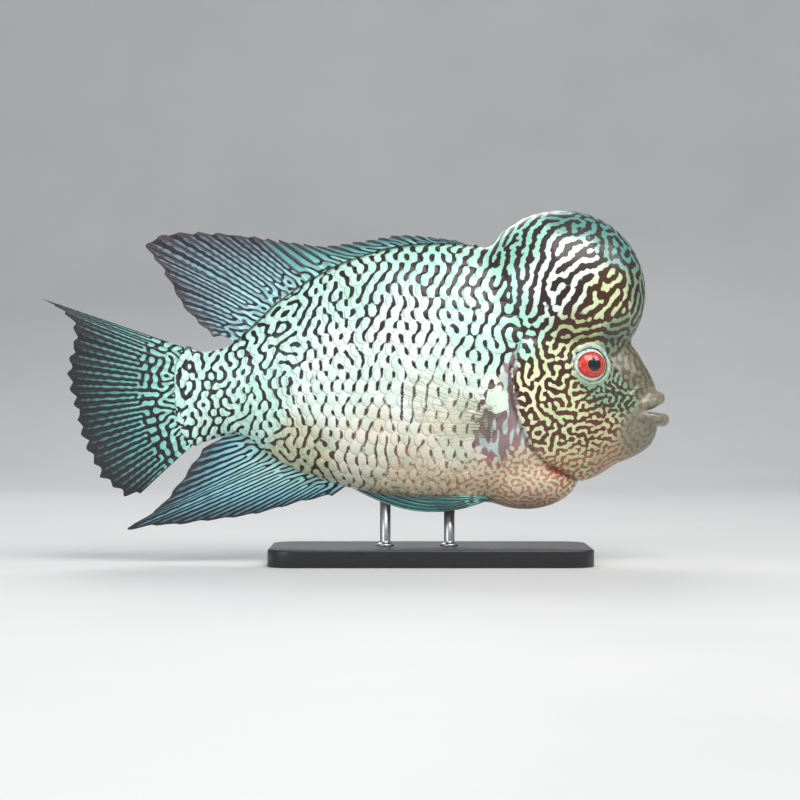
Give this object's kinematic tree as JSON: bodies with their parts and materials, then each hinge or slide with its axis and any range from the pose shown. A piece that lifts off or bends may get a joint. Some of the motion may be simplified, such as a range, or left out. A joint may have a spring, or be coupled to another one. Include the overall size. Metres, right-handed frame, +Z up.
{
  "type": "flowerhorn cichlid display model",
  "caption": "Life-size still model of an adult male flowerhorn cichlid with a big nuchal hump and open fins, level on a flat stand.",
  "frame": {"origin": "centre of the display stand's flat underside, below the belly", "axes": "+X towards the snout, +Y to the fish's left side, +Z up"},
  "size_m": [0.2943, 0.095, 0.1656],
  "materials": {
    "skin": "wet scaled skin, pale green-white maze on dark brown, satin to glossy",
    "fin": "dark wet fin membrane between raised rays, with rows of blue-green dashes",
    "clear_fin": "clear wet fin membrane between yellowish rays",
    "eye": "glassy eye with a red iris and a black pupil",
    "stand_base": "plain black plate with softened edges",
    "stand_rod": "plain turned rod"
  },
  "bodies": {
    "root": {"torso": "skin", "tail_stem": "skin", "nuchal_hump": "skin", "head": "skin", "lower_jaw": "skin", "gill_cover_left": "skin", "gill_cover_right": "skin", "eye_left": "eye", "eye_right": "eye", "pectoral_fin_left": "clear_fin", "pectoral_fin_right": "clear_fin", "pelvic_fin_left": "fin", "pelvic_fin_right": "fin", "dorsal_fin_spiny": "fin", "dorsal_fin_soft": "fin", "caudal_fin": "fin", "anal_fin": "fin", "stand_base": "stand_base", "stand_rod_front": "stand_rod", "stand_rod_rear": "stand_rod"}
  },
  "joints": []
}
